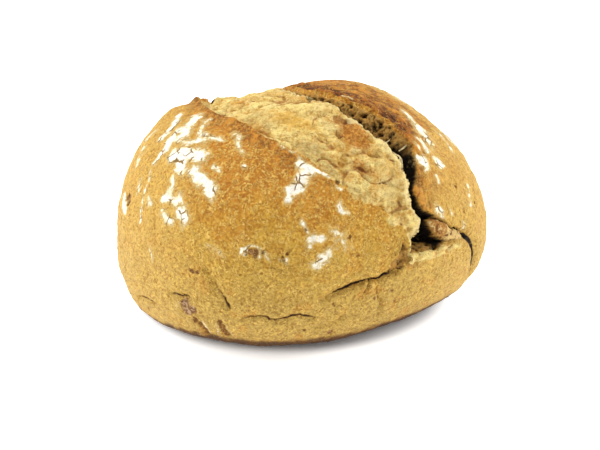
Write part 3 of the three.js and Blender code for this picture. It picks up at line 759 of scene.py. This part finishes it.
def bread():
    """The crust and the crumb, mixed from the masks."""
    m = Nodes("baked_crust")
    bloom, crumb, brown, flour = m.attribute("zones")
    crack_shade, scar, purple, mark = m.attribute("marks")
    deep, hole, height = m.attribute("depths")[:3]
    rise, rough, orange, olive = m.attribute("forms")
    yellow, side, right, under = m.attribute("areas")
    flake, flake_right, pale_lip, trough = m.attribute("flakes")

    def both(a, b):
        return m.math("MULTIPLY", a, b)

    def off(value, by):
        return both(m.math("SUBTRACT", value, 0.5), by)

    def frayed(mask, by_noise, by, *levels):
        return m.step(m.math("ADD", mask, off(by_noise, by)), *levels)

    wide, middle, small, grain = m.noise(26), m.noise(8, 3, 0.6), m.noise(2.3, 3, 0.7), m.noise(1.3, 1, 0.6)
    # the smooth crust: golden brown above, paler and duller toward the foot
    crust = m.mix(m.step(middle, 0.3, 0.7), srgb(196, 146, 44), srgb(214, 172, 64))
    tan = m.mix(m.step(middle, 0.3, 0.7), srgb(182, 116, 34), srgb(206, 144, 52))
    inland = m.math("SUBTRACT", 1.0, both(side, 0.8))
    crust = m.mix(both(frayed(height, wide, 0.5, 0.45, 0.85), inland), crust, tan)
    low = m.mix(m.step(small, 0.3, 0.7), srgb(178, 146, 68), srgb(206, 177, 102))
    crust = m.mix(frayed(height, wide, 0.3, 0.18, 0.72), low, crust)
    crust = m.mix(m.step(m.noise(11, 2, 0.5), 0.55, 0.68, 0.0, 0.45), crust, srgb(204, 138, 48))
    crust = m.mix(m.math("MAXIMUM", both(side, 0.42), both(right, 0.5)), crust,
        m.mix(m.step(small, 0.3, 0.7), srgb(218, 174, 90), srgb(240, 208, 136)))
    rind = m.mix(frayed(rough, small, 2.2, 0.2, 0.8), srgb(116, 60, 14), srgb(212, 144, 54))
    dark_rind = m.mix(frayed(rough, small, 2.4, 0.25, 0.9), srgb(82, 38, 8), srgb(170, 102, 30))
    rind = m.mix(m.step(brown, 0.8, 0.96), rind, dark_rind)
    # darker pores, pale bran and curled edges of the skin, here more, there less; the pale strokes are partly
    # painted highlights where the skin catches the light
    busy = m.step(m.noise(9, 2, 0.6), 0.36, 0.6, 0.45, 1.0)
    crust = m.mix(both(busy, m.step(small, 0.49, 0.3, 0.0, 0.75)), crust, srgb(160, 104, 32))
    crust = m.mix(both(busy, m.step(small, 0.52, 0.7, 0.0, 0.6)), crust, srgb(236, 188, 84))
    crust = m.mix(m.step(grain, 0.47, 0.32, 0.0, 0.55), crust, srgb(152, 98, 32))
    crust = m.mix(both(busy, m.step(grain, 0.53, 0.68, 0.0, 0.7)), crust, srgb(242, 200, 98))
    speck = m.cells(2.6)
    each = m.new("ShaderNodeSeparateColor")
    m.put(each.inputs[0], speck["Color"])
    speck_size = m.step(each.outputs[0], 0.5, 1.0, 0.0, 0.3)
    to_edge = m.math("SUBTRACT", m.math("ADD", speck["Distance"], off(grain, 0.5)), speck_size)
    bran = both(m.step(to_edge, 0.04, -0.08), m.step(each.outputs[0], 0.68, 0.72))

    def strokes(size, width, patch, level):
        line = m.math("ABSOLUTE", m.math("SUBTRACT", m.noise(size, 1, 0.5, distortion=1.8), 0.5))
        return both(m.step(line, width, width / 3), m.step(m.noise(patch, 1), level, level + 0.07))

    curls_and_glints = m.math("MAXIMUM", strokes(2.6, 0.075, 3.1, 0.52), strokes(4.4, 0.05, 4.3, 0.5))
    specks_and_glints = m.math("MAXIMUM", both(bran, 0.8), both(curls_and_glints, 0.78))
    crust = m.mix(specks_and_glints, crust, srgb(250, 208, 112))
    crust = m.mix(both(brown, m.step(middle, 0.2, 0.5, 0.8, 1.0)), crust, rind)
    crust = m.mix(both(specks_and_glints, both(brown, 0.7)), crust, srgb(230, 180, 90))
    # the bloom where the dough tore open: pale on its lumps, browner between them; this follows the relief,
    # partly its own colour and partly painted light on the tops and painted shade in the troughs
    torn = m.mix(frayed(rise, small, 1.2, 0.15, 0.8), srgb(198, 148, 56), srgb(251, 229, 148))
    torn = m.mix(m.step(m.noise(13, 2, 0.6), 0.5, 0.62, 0.0, 0.5), torn, srgb(206, 144, 52))
    torn = m.mix(m.step(m.noise(5.5, 3, 0.7), 0.5, 0.66, 0.0, 0.6), torn, srgb(196, 138, 46))
    torn = m.mix(m.step(m.noise(10, 3, 0.7), 0.52, 0.66, 0.0, 0.6), torn, srgb(252, 230, 160))
    torn = m.mix(strokes(3.4, 0.04, 5.0, 0.48), torn, srgb(248, 222, 146))
    torn = m.mix(both(yellow, m.step(small, 0.3, 0.6, 0.5, 1.0)), torn, srgb(224, 174, 66))
    torn = m.mix(both(olive, m.step(small, 0.3, 0.6, 0.6, 0.95)), torn,
        m.mix(m.step(small, 0.35, 0.65), srgb(178, 146, 76), srgb(222, 198, 132)))
    torn = m.mix(frayed(orange, small, 1.4, 0.35, 0.9, 0.0, 0.9), torn,
        m.mix(m.step(grain, 0.4, 0.6), srgb(176, 104, 34), srgb(214, 150, 62)))
    torn = m.mix(m.step(grain, 0.46, 0.3, 0.0, 0.5), torn, srgb(176, 122, 42))
    torn = m.mix(frayed(rise, small, 0.5, 0.36, 0.16, 0.0, 0.85), torn, srgb(150, 94, 30))
    torn = m.mix(frayed(trough, small, 1.4, 0.45, 1.0, 0.0, 0.75), torn, srgb(158, 96, 34))
    torn = m.mix(frayed(mark, small, 0.9, 0.35, 0.8, 0.0, 0.92), torn, srgb(118, 64, 20))
    torn = m.mix(frayed(pale_lip, small, 1.2, 0.3, 1.0, 0.0, 0.75), torn, srgb(250, 230, 166))
    colour = m.mix(frayed(bloom, small, 0.7, 0.35, 0.62), crust, torn)
    # open crumb: olive brown walls, with painted shade near black in the cells and deep down
    open_crumb = m.mix(frayed(hole, grain, 0.6, 0.1, 0.8), srgb(196, 148, 74), srgb(64, 38, 12))
    strands = both(strokes(2.6, 0.05, 3.6, 0.42), 0.6)
    open_crumb = m.mix(strands, open_crumb, srgb(222, 192, 124))
    open_crumb = m.mix(deep, open_crumb, srgb(18, 9, 2))
    colour = m.mix(frayed(crumb, small, 0.4, 0.3, 0.6), colour, open_crumb)
    flake_colour = m.mix(frayed(flake_right, m.noise(4, 3, 0.6), 2.6, 0.15, 0.6),
        srgb(180, 128, 60), srgb(228, 194, 124))
    colour = m.mix(flake, colour, m.mix(m.step(small, 0.47, 0.36),
        m.mix(m.step(small, 0.55, 0.66), flake_colour, srgb(240, 212, 148)), srgb(112, 64, 24)))
    # cracks: browner crust and painted shade down in the grooves; scars
    colour = m.mix(frayed(crack_shade, small, 0.5, 0.28, 0.75), colour,
        m.mix(m.step(crack_shade, 0.5, 0.9), srgb(100, 60, 18), srgb(24, 12, 3)))
    scar_dark = m.mix(purple, srgb(114, 68, 24), srgb(122, 84, 60))
    scar_pale = m.mix(purple, srgb(168, 118, 56), srgb(206, 172, 138))
    scar_grain = m.math("ADD", m.noise(1.7, 2, 0.7), both(purple, 0.08))
    scarred = m.mix(m.step(scar_grain, 0.52, 0.64), scar_dark, scar_pale)
    colour = m.mix(frayed(scar, small, 1.3, 0.2, 0.6, 0.0, 0.92), colour, scarred)
    # the edge of the seat, browned on the oven floor; where it faces further down, painted shade darkens it
    # to near black
    colour = m.mix(frayed(under, small, 0.5, 0.15, 0.95, 0.0, 0.8), colour,
        m.mix(m.step(small, 0.35, 0.65), srgb(112, 66, 24), srgb(164, 112, 50)))
    colour = m.mix(frayed(under, middle, 0.7, 0.4, 1.05, 0.0, 0.85), colour, srgb(76, 44, 18))
    # flour, ragged at its edges, cracked with the skin; the cracks show crust darkened with painted shade at
    # the plates' edges
    broken = m.math("ADD", flour, off(m.noise(4.4, 6, 0.75, distortion=0.5), 2.0))
    dusted = m.step(broken, 0.48, 0.64)
    plates = m.new("ShaderNodeTexVoronoi", feature="DISTANCE_TO_EDGE")
    shift = m.new("ShaderNodeVectorMath", operation="MULTIPLY_ADD")
    drift = m.new("ShaderNodeTexNoise")
    m.put(drift.inputs["Vector"], m.place)
    m.put(drift.inputs["Scale"], 0.14)
    m.put(shift.inputs[0], drift.outputs["Color"])
    m.put(shift.inputs[1], (6, 6, 6))
    m.put(shift.inputs[2], m.place)
    m.put(plates.inputs["Vector"], shift.outputs[0])
    m.put(plates.inputs["Scale"], 1 / 7)
    flour_cracks_and_shade = both(m.step(plates.outputs["Distance"], 0.06, 0.02), m.step(m.noise(7, 1), 0.5, 0.58))
    flour_cracks_and_shade = both(flour_cracks_and_shade, m.step(flour, 0.3, 0.6))
    dusted = both(dusted, m.math("SUBTRACT", 1.0, flour_cracks_and_shade))
    haze = m.step(broken, 0.15, 0.52, 0.0, 0.6)
    colour = m.mix(haze, colour, srgb(238, 208, 136))
    thin_flour, thick_flour = srgb(244, 222, 168, (0.84,) * 3), srgb(253, 247, 232, (0.86,) * 3)
    flour_colour = m.mix(m.step(broken, 0.56, 0.9), thin_flour, thick_flour)
    colour = m.mix(both(dusted, 0.97), colour, flour_colour)
    colour = m.mix(both(flour_cracks_and_shade, 0.7), colour, srgb(104, 70, 28))

    m.put(m.shader.inputs["Base Color"], colour)
    matt = m.step(small, 0.3, 0.7, 0.62, 0.82)
    m.put(m.shader.inputs["Roughness"], m.mix(dusted, m.mix(crumb, matt, (0.95,) * 3), (0.95,) * 3))
    m.shader.inputs["Specular IOR Level"].default_value = 0.14
    bump = m.new("ShaderNodeBump")
    bump.inputs["Strength"].default_value = 0.9
    bump.inputs["Distance"].default_value = 0.0007
    hills = m.math("ADD", both(grain, 0.6), both(small, 1.6))
    hills = m.math("ADD", hills, both(specks_and_glints, 0.8))
    hills = m.math("ADD", hills, m.math("SUBTRACT", both(dusted, 0.45), both(both(flour_cracks_and_shade, flour), 0.6)))
    m.put(bump.inputs["Height"], hills)
    m.put(m.shader.inputs["Normal"], bump.outputs["Normal"])
    return m.material


def simple(name, colour, roughness):
    """One colour, lightly mottled."""
    m = Nodes(name)
    mottle = m.step(m.noise(1.6, 2, 0.6), 0.35, 0.65)
    m.put(m.shader.inputs["Base Color"], m.mix(mottle, srgb(*[0.72 * c for c in colour]), srgb(*colour)))
    m.shader.inputs["Roughness"].default_value = roughness
    return m.material


SIDES = 6


def slivers(name, strips, material):
    """Thin torn strips: chart places with a height over the dome at each, and a width."""
    points, faces = [], []
    for line, width in strips:
        line = np.array(line, float)
        span = np.hypot(line[:, 0], line[:, 1])
        t = span / CHART_RADIUS
        aside = (line[:, 0] / span)[:, None] * np.array([1, 0, 0]) + (line[:, 1] / span)[:, None] * CHART_UP
        out = np.cos(t)[:, None] * FRONT + np.sin(t)[:, None] * aside
        middle = HEART + out * (dome(out) + line[:, 2])[:, None]
        run = np.gradient(middle, axis=0)
        run /= np.linalg.norm(run, axis=1, keepdims=True)
        across = np.cross(run, out)
        across /= np.linalg.norm(across, axis=1, keepdims=True)
        over = np.cross(across, run)
        taper = (0.35 + 0.65 * np.sin(np.pi * np.linspace(0.12, 0.9, len(line))))[:, None] * width / 2
        base = len(points)
        for k in range(SIDES):
            a = 2 * math.pi / SIDES * k
            points += list(middle + taper * (math.cos(a) * across + 0.4 * math.sin(a) * over))
        n = len(line)
        for k in range(SIDES):
            for i in range(n - 1):
                low, high = base + k * n + i, base + (k + 1) % SIDES * n + i
                faces.append([low, high, high + 1, low + 1])
        faces.append([base + k * n for k in reversed(range(SIDES))])
        faces.append([base + k * n + n - 1 for k in range(SIDES)])
    mesh = bpy.data.meshes.new(name)
    mesh.from_pydata([tuple(p / 1000) for p in points], [], faces)
    mesh.materials.append(material)
    piece = bpy.data.objects.new(name, mesh)
    bpy.context.collection.objects.link(piece)
    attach(piece, "root")


loaf_mesh.materials.append(bread())
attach(loaf, "root")
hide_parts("loaf")
slivers("burnt_flake", BURNT, simple("burnt_skin", (66, 44, 24), 0.7))
slivers("crumb_strands", STRANDS, simple("pale_crumb", (238, 216, 164), 0.9))

# ---------------------------------------------------------------- stage, light, camera
bpy.ops.mesh.primitive_plane_add(size=12)
floor = bpy.context.object
floor.name = "floor"
white = Nodes("white_floor")
white.shader.inputs["Base Color"].default_value = (0.96, 0.98, 1, 1)
white.shader.inputs["Emission Color"].default_value = (1, 0.97, 0.92, 1)
# the ground glows a little, so the shadow is dark only close to the foot: distances in the foot's reaches
GLOW_START, GLOW_FULL, GLOW_NEAR, GLOW_FAR = 1.08, 1.3, 0.04, 0.6
foot = point[point[:, 2] < 0.5]
foot_middle, foot_reach = (foot.max(0) + foot.min(0)) / 2, (foot.max(0) - foot.min(0)) / 2
from_foot = white.new("ShaderNodeVectorMath", operation="SUBTRACT")
white.put(from_foot.inputs[0], white.place)
from_foot.inputs[1].default_value = foot_middle
in_reaches = white.new("ShaderNodeVectorMath", operation="LENGTH")
per_reach = (1 / foot_reach[0], 1 / foot_reach[1], 0.0)
white.put(in_reaches.inputs[0], white.scaled(from_foot.outputs[0], per_reach))
white.put(white.shader.inputs["Emission Strength"],
    white.step(in_reaches.outputs["Value"], GLOW_START, GLOW_FULL, GLOW_NEAR, GLOW_FAR))
white.shader.inputs["Roughness"].default_value = 0.9
white.shader.inputs["Specular IOR Level"].default_value = 0.1
floor.data.materials.append(white.material)

scene = bpy.context.scene
scene.view_settings.view_transform = "Standard"
SKY_AS_LIGHT, SKY_AS_SEEN = 0.78, 1.0
world = bpy.data.worlds.new("studio")
scene.world = world
world.use_nodes = True
sky = world.node_tree.nodes["Background"]
sky.inputs[0].default_value = (1.0, 1.0, 1.0, 1)
# seen by the camera it is plain white; as light it is softer
ray = world.node_tree.nodes.new("ShaderNodeLightPath")
level = world.node_tree.nodes.new("ShaderNodeMapRange")
world.node_tree.links.new(ray.outputs["Is Camera Ray"], level.inputs["Value"])
level.inputs["To Min"].default_value, level.inputs["To Max"].default_value = SKY_AS_LIGHT, SKY_AS_SEEN
world.node_tree.links.new(level.outputs[0], sky.inputs[1])


AIM_HEIGHT = 0.05


def lamp(name, place, size, watts):
    light = bpy.data.lights.new(name, "AREA")
    light.shape, light.size, light.energy = "DISK", size, watts
    o = bpy.data.objects.new(name, light)
    o.location = place
    o.rotation_euler = (Vector((0, 0, AIM_HEIGHT)) - Vector(place)).to_track_quat("-Z", "Y").to_euler()
    bpy.context.collection.objects.link(o)


lamp("left", (-0.95, 0.05, 0.6), 0.6, 7.8)
lamp("right", (0.95, 0.1, 0.6), 0.6, 7.2)
lamp("over", (-0.1, 0.2, 1.2), 0.7, 6.2)

# The camera looks at the belly from 25 degrees up and 0.9 m away; the photograph is 600 pixels wide,
# 0.5376 mm each there.
ELEVATION, DISTANCE, PIXEL, WIDTH = math.radians(25), 0.9, 0.5376e-3, 600
back = Vector((0, -math.cos(ELEVATION), math.sin(ELEVATION)))
up = Vector((0, math.sin(ELEVATION), math.cos(ELEVATION)))
# the picture's middle lies this many pixels right of and below the point of aim
SHIFT_RIGHT, SHIFT_DOWN = 5.94, 15.29
aim = Vector((HEART[0] / 1000, HEART[1] / 1000, AIM_HEIGHT))
aim = aim + Vector((SHIFT_RIGHT * PIXEL, 0, 0)) - up * SHIFT_DOWN * PIXEL
camera = bpy.data.cameras.new("camera")
camera.sensor_width = 36
camera.lens = 36 * DISTANCE / (WIDTH * PIXEL)
eye = bpy.data.objects.new("camera", camera)
eye.location = aim + back * DISTANCE
eye.rotation_euler = (-back).to_track_quat("-Z", "Y").to_euler()
bpy.context.collection.objects.link(eye)
scene.camera = eye
